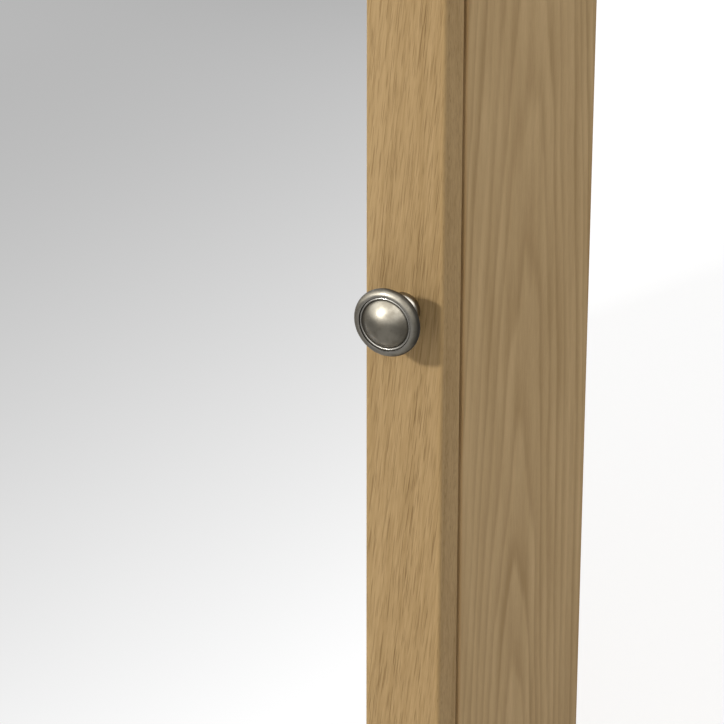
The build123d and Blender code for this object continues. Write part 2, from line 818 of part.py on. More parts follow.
hinge_screw = countersunk_screw(hinge_screw_radius, leaf_thickness, hinge_screw_length)
for name, side in (("hinge_carcass_screws", 1), ("hinge_door_screws", -1)):
    slit_face = hinge_y + side * leaf_slit / 2
    with BuildPart() as hinge_screws:
        for z in hinge_screw_levels:
            with Locations(facing((hinge_screw_x, slit_face, z), (0, -side, 0))):
                add(hinge_screw)
    hinge_screws.part.label = name
    export_step(hinge_screws.part, f"parts/{name}.step")

# Catch housing: a block with a pocket for the magnet between its pole plates, and an ear
# above and below that is screwed to the side.
pocket_width = magnet_thickness + 2 * pole_plate_thickness + 2 * catch_pocket_clearance
pocket_length = magnet_length + 2 * catch_pocket_clearance
with BuildPart() as catch_housing:
    with Locations((catch_x, catch_face + catch_body_depth / 2, catch_level)):
        Box(catch_width, catch_body_depth, catch_length)
    inner_edges = catch_housing.faces().sort_by(Axis.X)[0].edges()
    fillet(inner_edges, catch_round)
    with Locations(
        (
            inner_half_width - catch_ear_thickness / 2,
            catch_face + catch_ear_depth / 2,
            catch_level,
        )
    ):
        Box(catch_ear_thickness, catch_ear_depth, catch_length + 2 * catch_ear_length)
    with Locations((catch_x, catch_face + magnet_depth / 2, catch_level)):
        Box(pocket_width, magnet_depth, pocket_length, mode=Mode.SUBTRACT)
    for z in catch_screw_levels:
        with Locations(facing((catch_screw_x, catch_screw_y, z), (-1, 0, 0))):
            CounterSinkHole(
                catch_screw_radius + screw_clearance,
                catch_screw_radius + catch_screw_head_height + screw_clearance,
                counter_sink_angle=countersink_angle,
            )
catch_housing.part.label = "catch_housing"
export_step(catch_housing.part, "parts/catch_housing.step")

with BuildPart() as catch_magnet:
    with Locations((catch_x, catch_face + magnet_depth / 2, catch_level)):
        Box(magnet_thickness, magnet_depth, magnet_length)
catch_magnet.part.label = "catch_magnet"
export_step(catch_magnet.part, "parts/catch_magnet.step")

# Pole plates, one each side of the magnet, that stand out towards the striker.
pole_plate_depth = catch_face + magnet_depth - pole_tip
with BuildPart() as catch_pole_plates:
    for side in (-1, 1):
        plate_x = catch_x + side * (magnet_thickness + pole_plate_thickness) / 2
        with Locations((plate_x, pole_tip + pole_plate_depth / 2, catch_level)):
            Box(pole_plate_thickness, pole_plate_depth, magnet_length)
catch_pole_plates.part.label = "catch_pole_plates"
export_step(catch_pole_plates.part, "parts/catch_pole_plates.step")

catch_screw = countersunk_screw(catch_screw_radius, catch_screw_head_height, catch_screw_length)
with BuildPart() as catch_screws:
    for z in catch_screw_levels:
        with Locations(facing((catch_screw_x, catch_screw_y, z), (-1, 0, 0))):
            add(catch_screw)
catch_screws.part.label = "catch_screws"
export_step(catch_screws.part, "parts/catch_screws.step")

# Striker plate on the back of the knob stile, with its screw.
with BuildPart() as striker_plate:
    with BuildSketch(Plane.XZ.offset(-striker_face)):
        with Locations((catch_x, catch_level)):
            RectangleRounded(striker_width, striker_length, striker_corner)
    extrude(amount=striker_thickness)
    with Locations(facing((catch_x, striker_face, catch_level), TOWARDS_WALL)):
        CounterSinkHole(
            striker_screw_radius + screw_clearance,
            striker_screw_radius + striker_thickness + screw_clearance,
            counter_sink_angle=countersink_angle,
        )
striker_plate.part.label = "striker_plate"
export_step(striker_plate.part, "parts/striker_plate.step")

striker_screw_shape = countersunk_screw(
    striker_screw_radius, striker_thickness, striker_screw_length
)
with BuildPart() as striker_screw:
    with Locations(facing((catch_x, striker_face, catch_level), TOWARDS_WALL)):
        add(striker_screw_shape)
striker_screw.part.label = "striker_screw"
export_step(striker_screw.part, "parts/striker_screw.step")

# Bumpers on the back of the knob stile, that land on the front edge of the right side.
with BuildPart() as door_bumpers:
    with BuildSketch(Plane.XZ.offset(-door_back)):
        for end in (-1, 1):
            with Locations((half_width - side_thickness / 2, end * (half_height - bumper_inset))):
                Circle(bumper_radius)
    extrude(amount=bumper_clearance - door_gap)
    crowns = door_bumpers.edges().filter_by(GeomType.CIRCLE).group_by(Axis.Y)[-1]
    fillet(crowns, bumper_round)
door_bumpers.part.label = "door_bumpers"
export_step(door_bumpers.part, "parts/door_bumpers.step")
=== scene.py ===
"""A bathroom mirror cabinet: an oak-framed mirror door on a veneered carcass, with a pewter knob.

The file follows the cabinet as it is put together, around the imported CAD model.
"""
from math import acos, asin, degrees, pi, radians

import bpy
import numpy as np
from mathutils import Matrix, Vector


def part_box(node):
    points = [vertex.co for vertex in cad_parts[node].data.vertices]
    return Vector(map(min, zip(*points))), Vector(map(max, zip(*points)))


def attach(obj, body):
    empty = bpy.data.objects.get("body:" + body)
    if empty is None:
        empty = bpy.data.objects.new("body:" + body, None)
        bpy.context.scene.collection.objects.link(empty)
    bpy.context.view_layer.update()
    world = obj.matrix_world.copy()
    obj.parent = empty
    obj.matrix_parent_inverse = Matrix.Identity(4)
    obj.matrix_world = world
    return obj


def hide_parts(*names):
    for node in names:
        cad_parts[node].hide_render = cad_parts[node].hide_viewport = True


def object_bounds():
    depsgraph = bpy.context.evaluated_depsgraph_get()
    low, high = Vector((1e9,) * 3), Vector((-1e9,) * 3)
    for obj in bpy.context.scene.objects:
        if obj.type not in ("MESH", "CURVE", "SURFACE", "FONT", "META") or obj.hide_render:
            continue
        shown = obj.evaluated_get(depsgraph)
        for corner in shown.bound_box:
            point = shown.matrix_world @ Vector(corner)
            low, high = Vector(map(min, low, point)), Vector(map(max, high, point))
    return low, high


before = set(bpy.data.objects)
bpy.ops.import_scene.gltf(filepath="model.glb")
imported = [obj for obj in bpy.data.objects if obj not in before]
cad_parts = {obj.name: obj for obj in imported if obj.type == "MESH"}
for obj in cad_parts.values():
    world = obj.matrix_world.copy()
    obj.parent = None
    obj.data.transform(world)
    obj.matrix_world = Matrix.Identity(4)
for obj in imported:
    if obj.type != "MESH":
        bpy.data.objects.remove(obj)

cad_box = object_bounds()


# Side panels: boards faced with crown-cut oak veneer, its grain upright and its arches pointing up.
# They are bored for the shelf pins and rebated for the back, and their arrises are sanded by hand.
def feed(tree, made, inputs):
    """Links each input that is given a socket, and sets each that is given a plain value."""
    for key, value in inputs.items():
        if isinstance(value, bpy.types.NodeSocket):
            tree.links.new(value, made.inputs[key])
        else:
            made.inputs[key].default_value = value


def wire(tree, kind, inputs, output=0, **settings):
    """Adds a node with its inputs and gives back one of its outputs. Settings are the node's own,
    such as its operation."""
    made = tree.nodes.new("ShaderNode" + kind)
    for name, value in settings.items():
        setattr(made, name, value)
    feed(tree, made, inputs)
    return made.outputs[output]


def maths(tree, operation, *values):
    """One sum on numbers that change over the surface."""
    return wire(tree, "Math", dict(enumerate(values)), operation=operation)


def parts(tree, vector):
    """The three numbers of a vector."""
    return wire(tree, "SeparateXYZ", {0: vector}).node.outputs


def step_up(tree, value, low, high):
    """0 below low, 1 above high, and an even S between them."""
    limits = {0: value, 1: low, 2: high}
    return wire(tree, "MapRange", limits, interpolation_type="SMOOTHSTEP")


def noise(tree, place, stretch, detail=2.0):
    """Cloudy noise of about 0 to 1, with stretch cells to the metre along each axis."""
    cells = wire(tree, "VectorMath", {0: place, 1: stretch}, operation="MULTIPLY")
    return wire(tree, "TexNoise", {"Vector": cells, "Scale": 1.0, "Detail": detail})


def mix_tones(tree, share, first, second):
    """The first colour, with a share of the second laid over it."""
    return wire(tree, "Mix", {0: share, 6: first, 7: second}, 2, data_type="RGBA")


def new_group(name, inputs, outputs):
    """An empty shader node group: its tree, what comes in, and what goes out."""
    tree = bpy.data.node_groups.new(name, "ShaderNodeTree")
    for way, sockets in (("INPUT", inputs), ("OUTPUT", outputs)):
        for label, kind in sockets.items():
            tree.interface.new_socket(label, in_out=way, socket_type="NodeSocket" + kind)
    return tree, tree.nodes.new("NodeGroupInput").outputs, tree.nodes.new("NodeGroupOutput").inputs


def use_group(tree, group, inputs):
    """Places a node group in a material and gives back its outputs."""
    made = tree.nodes.new("ShaderNodeGroup")
    made.node_tree = group
    feed(tree, made, inputs)
    return made.outputs


def surfaced(tree, surface, colour, rough, bump):
    """Links a material's colour, roughness and bumps to its shader."""
    tree.links.new(colour, surface["Base Color"])
    tree.links.new(rough, surface["Roughness"])
    tree.links.new(bump, surface["Normal"])


def make_wood_grain():
    """Wood as it grows: rings are the fraction of the distance from the log's heart over the ring
    width, the distance bent by slow noise. Each ring starts dark and fades, with its own depth.
    Fibres and pores are noise drawn out along the log, and pores lean a little and follow rings."""
    tree, given, made = new_group(
        "wood_grain",
        {"Place": "Vector", "Ring Width": "Float", "Waver": "Float",
         "Ring Depth": "Float", "Band Depth": "Float",
         "Fibre Depth": "Float", "Fibre Length": "Float", "Pore Depth": "Float", "Lean": "Float",
         "Light": "Color", "Dark": "Color", "Pore": "Color"},
        {"Color": "Color", "Roughness": "Float", "Height": "Float"},
    )
    drift_cells, drift_reach, waver_cells = (9, 9, 2.6), 0.022, (80, 80, 5)
    onset_share, fade_power = 0.30, 1.7
    own_spread, own_least = 1.1, 0.25
    band_cells, fibre_cells = (95, 95, 4.0), 1300.0
    pore_cells, pore_limits = (2500, 2500, 58), (0.58, 0.69)
    pores_by_ring, pores_everywhere = 0.6, 0.45
    middle_tone, tone_roughness, pore_roughness, fibre_height = 0.28, 0.10, 0.15, 0.35

    place = given["Place"]
    across = wire(tree, "VectorMath", {0: place, 1: (1, 1, 0)}, operation="MULTIPLY")
    distance = wire(tree, "VectorMath", {0: across}, 1, operation="LENGTH")
    drift = maths(tree, "MULTIPLY_ADD", noise(tree, place, drift_cells), drift_reach, distance)
    waver = maths(tree, "MULTIPLY", noise(tree, place, waver_cells), given["Waver"])
    count = maths(tree, "ADD", maths(tree, "DIVIDE", drift, given["Ring Width"]), waver)
    age = maths(tree, "FRACT", count)
    own_depth = wire(tree, "TexWhiteNoise", {"W": maths(tree, "FLOOR", count)},
                     noise_dimensions="1D")
    fade = maths(tree, "POWER", maths(tree, "SUBTRACT", 1.0, age), fade_power)
    onset = step_up(tree, age, 0.0, onset_share)
    ring = maths(tree, "MULTIPLY", maths(tree, "MULTIPLY", fade, onset),
                 maths(tree, "MULTIPLY_ADD", own_depth, own_spread, own_least))
    height = parts(tree, place)[2]
    lean = wire(tree, "CombineXYZ", {0: maths(tree, "MULTIPLY", height, given["Lean"])})
    leaning = wire(tree, "VectorMath", {0: place, 1: lean}, operation="ADD")
    band = maths(tree, "SUBTRACT", noise(tree, leaning, band_cells), 0.5)
    along = maths(tree, "DIVIDE", 1.0, given["Fibre Length"])
    fine = wire(tree, "CombineXYZ", {0: fibre_cells, 1: fibre_cells, 2: along})
    fibre = maths(tree, "SUBTRACT", noise(tree, leaning, fine, 3.0), 0.5)
    open_cells = step_up(tree, noise(tree, leaning, pore_cells, 1.0), *pore_limits)
    pores = maths(tree, "MULTIPLY", open_cells,
                  maths(tree, "MULTIPLY_ADD", ring, pores_by_ring, pores_everywhere))
    tone = maths(tree, "MULTIPLY_ADD", ring, given["Ring Depth"], middle_tone)
    tone = maths(tree, "MULTIPLY_ADD", band, given["Band Depth"], tone)
    tone = maths(tree, "MULTIPLY_ADD", fibre, given["Fibre Depth"], tone)
    tone = wire(tree, "Clamp", {0: tone})
    timber = mix_tones(tree, tone, given["Light"], given["Dark"])
    shown = maths(tree, "MULTIPLY", pores, given["Pore Depth"])
    tree.links.new(mix_tones(tree, shown, timber, given["Pore"]), made["Color"])
    rough_pores = maths(tree, "MULTIPLY", shown, pore_roughness)
    tree.links.new(maths(tree, "MULTIPLY_ADD", tone, tone_roughness, rough_pores),
                   made["Roughness"])
    tree.links.new(maths(tree, "SUBTRACT", maths(tree, "MULTIPLY", fibre, fibre_height), shown),
                   made["Height"])
    return tree


def make_edge_rub():
    """Where a board is rubbed: the distances from a point to the nearer face on each axis, summed
    without the largest, are its distance to the nearest edge, and the mask falls off with it."""
    tree, given, made = new_group(
        "edge_rub",
        {"Place": "Vector", "Low": "Vector", "High": "Vector", "Reach": "Float"},
        {"Mask": "Float"},
    )
    uneven_cells, uneven_spread, uneven_least = (60, 60, 60), 0.9, 0.5
    from_low = wire(tree, "VectorMath", {0: given["Place"], 1: given["Low"]}, operation="SUBTRACT")
    from_high = wire(tree, "VectorMath", {0: given["High"], 1: given["Place"]},
                     operation="SUBTRACT")
    x, y, z = parts(tree, wire(tree, "VectorMath", {0: from_low, 1: from_high},
                               operation="MINIMUM"))
    total = maths(tree, "ADD", maths(tree, "ADD", x, y), z)
    largest = maths(tree, "MAXIMUM", maths(tree, "MAXIMUM", x, y), z)
    to_edge = maths(tree, "SUBTRACT", total, largest)
    share = maths(tree, "DIVIDE", to_edge, given["Reach"])
    uneven = maths(tree, "MULTIPLY_ADD", noise(tree, given["Place"], uneven_cells), uneven_spread,
                   uneven_least)
    mask = maths(tree, "SUBTRACT", 1.0, step_up(tree, maths(tree, "DIVIDE", share, uneven), 0, 1))
    tree.links.new(mask, made["Mask"])
    return tree


wood_grain = make_wood_grain()
edge_rub = make_edge_rub()
grain_turn = {"up": 0.0, "along": pi / 2}


def new_material(name):
    """A fresh material: itself, its tree, its shader's inputs, and object coordinates."""
    material = bpy.data.materials.new(name)
    material.use_nodes = True
    tree = material.node_tree
    shader = tree.nodes["Principled BSDF"]
    return material, tree, shader.inputs, wire(tree, "TexCoord", {}, "Object")


def dress(material, *names):
    """Gives CAD nodes a material, through their material slots."""
    for name in names:
        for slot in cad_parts[name].material_slots:
            slot.material = material


def wood(name, low, high, tones, run="up", heart=(0.0, 0.0, 0.0), lean=(0.0, 0.0), ring=0.0042,
         waver=1.0, depths=(0.5, 0.5, 1.5), pores=0.75, fibre_length=0.02, slant=0.0,
         relief=0.00012):
    """A wooden material. run is the way of the grain, heart the shift from the board to its place
    in the log, lean the slope of the log's heart, and depths those of rings, bands and fibres."""
    rub_reach, rub_share, rub_polish, bump_strength = 0.0035, 0.45, -0.06, 0.6
    bare_roughness = 0.50
    material, tree, surface, here = new_material(name)
    turn = (lean[0], grain_turn[run] + lean[1], 0.0)
    in_log = wire(tree, "Mapping", {0: here, 1: heart, 2: turn})
    light, dark, pore, rubbed = [(*tone, 1.0) for tone in tones]
    grain = use_group(tree, wood_grain, {
        "Place": in_log, "Ring Width": ring, "Waver": waver, "Ring Depth": depths[0],
        "Band Depth": depths[1], "Fibre Depth": depths[2], "Fibre Length": fibre_length,
        "Pore Depth": pores, "Lean": slant, "Light": light, "Dark": dark, "Pore": pore})
    rub = use_group(tree, edge_rub, {"Place": here, "Low": low, "High": high, "Reach": rub_reach})
    worn = maths(tree, "MULTIPLY", rub["Mask"], rub_share)
    colour = mix_tones(tree, worn, grain["Color"], rubbed)
    rough = maths(tree, "ADD", grain["Roughness"], bare_roughness)
    rough = maths(tree, "MULTIPLY_ADD", rub["Mask"], rub_polish, rough)
    bump = wire(tree, "Bump", {"Height": grain["Height"], "Distance": relief,
                               "Strength": bump_strength})
    surface["Specular IOR Level"].default_value = 0.10
    surfaced(tree, surface, colour, rough, bump)
    return material


veneer_tones = ((0.580, 0.402, 0.203), (0.400, 0.263, 0.120), (0.290, 0.180, 0.078),
                (0.400, 0.225, 0.085))
veneer_face = dict(ring=0.0066, depths=(0.90, 1.20, 0.60), pores=0.16, fibre_length=0.09)
for side, heart, lean in (
    ("right", (-0.183, 0.080, 0.0), 0.095), ("left", (0.262, 0.062, 3.1), -0.06),
):
    panel = f"side_panel_{side}"
    dress(wood(f"veneer_{panel}", *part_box(panel), veneer_tones, heart=heart, lean=(0.0, lean),
               **veneer_face), panel)


# Top and bottom boards: the same veneered board as the sides, laid with the grain from side to
# side and dowelled between them.
for board, heart in (("top_board", (-0.25, 0.050, 1.7)), ("bottom_board", (0.32, 0.095, 5.2))):
    dress(wood(f"veneer_{board}", *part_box(board), veneer_tones, run="along", heart=heart,
               lean=(0.0, 0.03), **veneer_face), board)


# Back panel: thin birch plywood, peeled from the log, so its figure is wide and wandering. It is
# let into the rebate in the side panels and screwed on from behind.
plywood_tones = ((0.560, 0.430, 0.275), (0.470, 0.340, 0.200), (0.380, 0.260, 0.140),
                 (0.500, 0.370, 0.220))
dress(wood("birch_plywood", *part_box("back_panel"), plywood_tones, heart=(0.03, 0.11, 8.0),
           lean=(0.09, 0.0), ring=0.011, depths=(0.5, 0.5, 0.5), pores=0.15, fibre_length=0.03),
      "back_panel")


# Hanging rails: two solid oak strips across the back of the carcass, dowelled to the sides. They
# take the screws that hold the cabinet to the wall.
rail_tones = ((0.470, 0.318, 0.156), (0.370, 0.242, 0.113), (0.230, 0.140, 0.060),
              (0.420, 0.275, 0.125))
for rail, heart in (
    ("hanging_rail_upper", (0.05, 0.12, 2.4)), ("hanging_rail_lower", (-0.04, 0.16, 6.6)),
):
    dress(wood(f"oak_{rail}", *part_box(rail), rail_tones, run="along", heart=heart), rail)


# Dowels: turned beech pegs that join the boards and rails to the sides. They are glued into bored
# holes and out of sight.
beech_tones = ((0.590, 0.425, 0.265), (0.500, 0.345, 0.200), (0.390, 0.250, 0.130),
               (0.540, 0.380, 0.220))
for pegs in ("board_dowels", "rail_dowels"):
    dress(wood(f"beech_{pegs}", *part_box(pegs), beech_tones, run="along", heart=(0.0, 0.03, 4.0),
               ring=0.003, depths=(0.3, 0.4, 0.7), pores=0.5, fibre_length=0.004), pegs)


# Shelves: two loose boards with rounded edges, veneered like the carcass with the grain from side
# to side. Each lies on four pins.
for shelf, heart in (("shelf_upper", (0.02, 0.070, 9.3)), ("shelf_lower", (0.21, 0.060, 12.1))):
    dress(wood(f"veneer_{shelf}", *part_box(shelf), veneer_tones, run="along", heart=heart,
               lean=(0.0, -0.035), **veneer_face), shelf)


# Shelf pins: pressed steel, zinc plated and a little scratched. They are pushed into the bored
# rows of the side panels, four to a shelf.
def make_metal_skin():
    """Worked metal: clouds of slow noise between a bright and a dull tone, with scratches that are
    noise drawn out along one axis, and the same clouds and scratches in the roughness."""
    tree, given, made = new_group(
        "metal_skin",
        {"Place": "Vector", "Bright": "Color", "Dull": "Color", "Cloud Size": "Float",
         "Cloud Depth": "Float", "Scratch Depth": "Float"},
        {"Color": "Color", "Roughness": "Float", "Height": "Float"},
    )
    scratch_cells, cloud_limits, mark_tone = (900, 5200, 5200), (0.38, 0.66), 0.5
    grime_roughness, mark_roughness = 0.16, 0.18
    place = given["Place"]
    to_size = maths(tree, "DIVIDE", 1.0, given["Cloud Size"])
    cells = wire(tree, "VectorMath", {0: place, 3: to_size}, operation="SCALE")
    clouds = wire(tree, "TexNoise", {"Vector": cells, "Scale": 1.0, "Detail": 4.0})
    scratches = maths(tree, "SUBTRACT", noise(tree, place, scratch_cells), 0.5)
    grime = maths(tree, "MULTIPLY", step_up(tree, clouds, *cloud_limits), given["Cloud Depth"])
    marks = maths(tree, "MULTIPLY", scratches, given["Scratch Depth"])
    share = maths(tree, "ADD", grime, maths(tree, "MULTIPLY", marks, mark_tone))
    share = wire(tree, "Clamp", {0: share})
    tree.links.new(mix_tones(tree, share, given["Bright"], given["Dull"]), made["Color"])
    rough_marks = maths(tree, "MULTIPLY", marks, mark_roughness)
    tree.links.new(maths(tree, "MULTIPLY_ADD", grime, grime_roughness, rough_marks),
                   made["Roughness"])
    tree.links.new(marks, made["Height"])
    return tree


metal_skin = make_metal_skin()


def metal(name, bright, dull, rough, cloud=0.004, clouding=0.6):
    """A plain metal material, with clouds of the given size and depth, and scratches."""
    scratch_depth, scratch_relief = 0.7, 0.00002
    material, tree, surface, here = new_material(name)
    skin = use_group(tree, metal_skin, {
        "Place": here, "Bright": (*bright, 1.0), "Dull": (*dull, 1.0), "Cloud Size": cloud,
        "Cloud Depth": clouding, "Scratch Depth": scratch_depth})
    bump = wire(tree, "Bump", {"Height": skin["Height"], "Distance": scratch_relief,
                               "Strength": 0.5})
    surface["Metallic"].default_value = 1.0
    surfaced(tree, surface, skin["Color"], maths(tree, "ADD", skin["Roughness"], rough), bump)
    return material


zinc_plate = metal("zinc_plate", (0.62, 0.63, 0.64), (0.42, 0.42, 0.42), 0.30)
dress(zinc_plate, "shelf_pins_upper", "shelf_pins_lower")


# Back screws: zinc-plated countersunk wood screws with crossed slots. They are set in from behind,
# through the plywood.
screw_zinc = metal("screw_zinc", (0.60, 0.60, 0.59), (0.36, 0.35, 0.34), 0.34, cloud=0.002)
dress(screw_zinc, "back_screws")


# Door frame: four oak members, the rails tenoned into the stiles and the long front arris softened.
# Each is cut from its own part of a plank, so bands and flecks differ from one to the next.
oak_tones = ((0.475, 0.318, 0.150), (0.345, 0.221, 0.094), (0.200, 0.115, 0.042),
             (0.520, 0.342, 0.150))
frame_wood = dict(ring=0.0060, waver=1.5, depths=(0.42, 1.25, 1.8), pores=0.85,
                  fibre_length=0.013, slant=-0.065, relief=0.00035)
for member, run, heart, lean in (
    ("door_stile_knob", "up", (-0.168, 0.230, 0.0), (0.0, -0.04)),
    ("door_stile_hinge", "up", (0.245, 0.225, 2.2), (0.0, -0.03)),
    ("door_rail_top", "along", (-0.300, 0.235, 4.1), (0.0, 0.02)),
    ("door_rail_bottom", "along", (0.240, 0.215, 7.3), (0.0, -0.02)),
):
    dress(wood(f"oak_{member}", *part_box(member), oak_tones, run=run, heart=heart, lean=lean,
               **frame_wood), member)


# Mirror glass: a 4 mm pane, silvered behind, its edges ground to small polished chamfers. It lies
# in the rebate behind the frame's lip.
def add_piece(name, points, faces, body, replaced, material):
    """A mesh object from arrays of points and faces, riding on a body in place of CAD nodes."""
    mesh = bpy.data.meshes.new(name)
    mesh.from_pydata(points.tolist(), [], faces)
    mesh.materials.append(material)
    piece = bpy.data.objects.new(name, mesh)
    bpy.context.scene.collection.objects.link(piece)
    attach(piece, body)
    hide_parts(*replaced)
    return piece


def ring_faces(rings, around):
    """Quads between rings of points that are numbered one ring after another, each ring closed."""
    ring, spot = np.meshgrid(np.arange(rings - 1), np.arange(around), indexing="ij")
    after = (spot + 1) % around
    start = ring * around
    quads = np.stack([start + spot, start + after, start + around + after, start + around + spot],
                     axis=-1)
    return quads.reshape(-1, 4)


def ground_pane(low, high, chamfer):
    """A pane as four rings round its rim. Each ring is the pane's outline, drawn in by an inset,
    at a depth: the front edge of the front chamfer, its foot, and the same again at the back."""
    insets = np.array([chamfer, 0.0, 0.0, chamfer])
    depths = np.array([low[1], low[1] + chamfer, high[1] - chamfer, high[1]])
    left, right = low[0] + insets, high[0] - insets
    bottom, top = low[2] + insets, high[2] - insets
    x = np.stack([left, right, right, left], axis=1)
    z = np.stack([bottom, bottom, top, top], axis=1)
    y = np.repeat(depths[:, None], 4, axis=1)
    points = np.stack([x, y, z], axis=-1).reshape(-1, 3)
    rim = ring_faces(4, 4)[:, ::-1].tolist()
    return points, [[0, 1, 2, 3], [15, 14, 13, 12], *rim]


silvering, tree, surface, here = new_material("silvered_glass")
surface["Metallic"].default_value = 1.0
film_cells, film_haze, least_haze, ground_chamfer = (7, 7, 7), 0.004, 0.001, 0.0005
film = noise(tree, here, film_cells, 3.0)
tree.links.new(mix_tones(tree, film, (0.962, 0.962, 0.962, 1.0), (0.952, 0.952, 0.953, 1.0)),
               surface["Base Color"])
tree.links.new(maths(tree, "MULTIPLY_ADD", film, film_haze, least_haze), surface["Roughness"])
pane_points, pane_faces = ground_pane(*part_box("mirror_glass"), ground_chamfer)
add_piece("mirror_pane", pane_points, pane_faces, "door", ["mirror_glass"], silvering)


# Mirror backing: a sheet of brown hardboard, pressed from wood fibre. It lies behind the glass,
# with its rough side to the inside of the cabinet.
hardboard, tree, surface, here = new_material("pressed_hardboard")
fibre_cells, patch_cells = (1400, 1400, 1400), (22, 22, 22)
patch_share, fibre_share, pulp_limits = 0.35, 0.65, (0.34, 0.66)
pulp_roughness, fibre_roughness, fibre_relief = 0.62, 0.2, 0.0002
fibres = noise(tree, here, fibre_cells, 4.0)
patches = noise(tree, here, patch_cells, 3.0)
weave = maths(tree, "MULTIPLY_ADD", patches, patch_share,
              maths(tree, "MULTIPLY", fibres, fibre_share))
surfaced(tree, surface,
         mix_tones(tree, step_up(tree, weave, *pulp_limits), (0.082, 0.046, 0.024, 1.0),
                   (0.150, 0.092, 0.051, 1.0)),
         maths(tree, "MULTIPLY_ADD", fibres, fibre_roughness, pulp_roughness),
         wire(tree, "Bump", {"Height": fibres, "Distance": fibre_relief, "Strength": 0.5}))
dress(hardboard, "mirror_backing")


# Beads: thin oak strips with one rounded edge, mitred round the rebate and pinned through the side
# to hold the backing and the glass.
for bead, run, heart in (
    ("bead_knob_side", "up", (-0.13, 0.20, 1.1)), ("bead_hinge_side", "up", (0.25, 0.19, 3.3)),
    ("bead_top", "along", (-0.21, 0.21, 5.7)), ("bead_bottom", "along", (0.31, 0.18, 8.8)),
):
    dress(wood(f"oak_{bead}", *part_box(bead), oak_tones, run=run, heart=heart, **frame_wood), bead)
dress(screw_zinc, "bead_pins")


# Knob: cast pewter, turned and antiqued. A round foot, a coved neck, a wide rounded rim, a fine
# bead between two dark grooves, and a smooth dome. The dark finish stays in the hollows, with
# painted shade added on the neck and on the rim's underside and outer side. The bead and rim crest
# are rubbed lighter, and the foot's rounded shoulder carries a painted highlight.
def arc(centre, radius, start, end, steps):
    """Points on a circle in the plane of radius and height, from one angle to the other."""
    angle = np.radians(np.linspace(start, end, steps))
    return np.stack([centre[0] + radius * np.cos(angle), centre[1] + radius * np.sin(angle)], 1)


def turned(outline, foot, around):
    """An outline of (radius, height) turned about the line that runs from foot into the room: x
    and z are the radius times cosine and sine, and y is the foot's less the height. The outline's
    ends lie on the line, and each becomes one point."""
    turn = np.linspace(0.0, 2.0 * pi, around, endpoint=False)
    radius, height = outline[1:-1, :1], outline[1:-1, 1:]
    x = foot[0] + radius * np.cos(turn)
    z = foot[2] + radius * np.sin(turn)
    y = foot[1] - np.repeat(height, around, axis=1)
    body = np.stack([x, y, z], axis=-1).reshape(-1, 3)
    ends = np.array([[foot[0], foot[1] - outline[i, 1], foot[2]] for i in (0, -1)])
    rings = len(outline) - 2
    last = rings * around
    spot = np.arange(around)
    after = (spot + 1) % around
    first_fan = np.stack([np.full(around, last), after, spot], axis=1)
    top = last - around
    last_fan = np.stack([np.full(around, last + 1), top + spot, top + after], axis=1)
    faces = [*ring_faces(rings, around).tolist(), *first_fan.tolist(), *last_fan.tolist()]
    return np.concatenate([body, ends]), faces


# Radii and heights are in millimetres, out from the knob's middle line and up from its foot.
millimetre = 0.001
rim_centre = (13.2, 17.3)
rim_round = 2.8
neck_radius = 5.0
cove_radius = rim_centre[0] - neck_radius
cove_centre = (rim_centre[0], rim_centre[1] - rim_round - cove_radius)
foot_radius, foot_height, foot_round = 8.0, 4.2, 2.4
foot_arris = 0.15
groove_radius, groove_level, groove_wall, groove_round = 12.7, 19.2, 0.30, 0.10
fillet_in, fillet_up = 0.03, 0.06
bead_radius, bead_wire, bead_lift = 12.0, 0.5, 0.05
dome_radius, knob_height = 11.2, 24.5
dome_rise = knob_height - groove_level
dome_ball = (dome_radius ** 2 + dome_rise ** 2) / (2 * dome_rise)
dome_edge = degrees(acos(dome_radius / dome_ball))
cove_start = 180 + degrees(asin((cove_centre[1] - foot_height) / cove_radius))
rim_end = degrees(acos((groove_radius - rim_centre[0]) / rim_round))
knob_outline = np.concatenate([
    [(0.0, 0.0), (foot_radius - foot_arris, 0.0)],
    arc((foot_radius - foot_arris, foot_arris), foot_arris, -90, 0, steps=4)[1:],
    arc((foot_radius - foot_round, foot_height - foot_round), foot_round, 0, 90, steps=12),
    arc(cove_centre, cove_radius, cove_start, 90, steps=40)[1:],
    arc(rim_centre, rim_round, -90, rim_end, steps=48)[1:],
    [(groove_radius, groove_level + groove_wall)],
    [(groove_radius - fillet_in, groove_level + fillet_up)],
    [(groove_radius - groove_round, groove_level)],
    arc((bead_radius, groove_level + bead_lift), bead_wire, 0, 180, steps=20),
    [(bead_radius - bead_wire - groove_round, groove_level)],
    [(dome_radius + groove_round, groove_level)],
    arc((0.0, knob_height - dome_ball), dome_ball, dome_edge, 90, steps=40),
])
knob_outline[-1, 0] = 0.0
knob_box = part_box("knob")
knob_middle = (knob_box[0] + knob_box[1]) / 2
knob_foot = (knob_middle.x, knob_box[1].y, knob_middle.z)
knob_around = 192
knob_points, knob_faces = turned(knob_outline * millimetre, knob_foot, knob_around)


def near(places, reach):
    """How near each point of the outline is to each place: 1 on it, falling off as the
    exponential of minus the squared distance over the reach."""
    distance = np.linalg.norm(knob_outline[:, None] - np.array(places), axis=2)
    return np.exp(-(distance / np.array(reach)) ** 2)


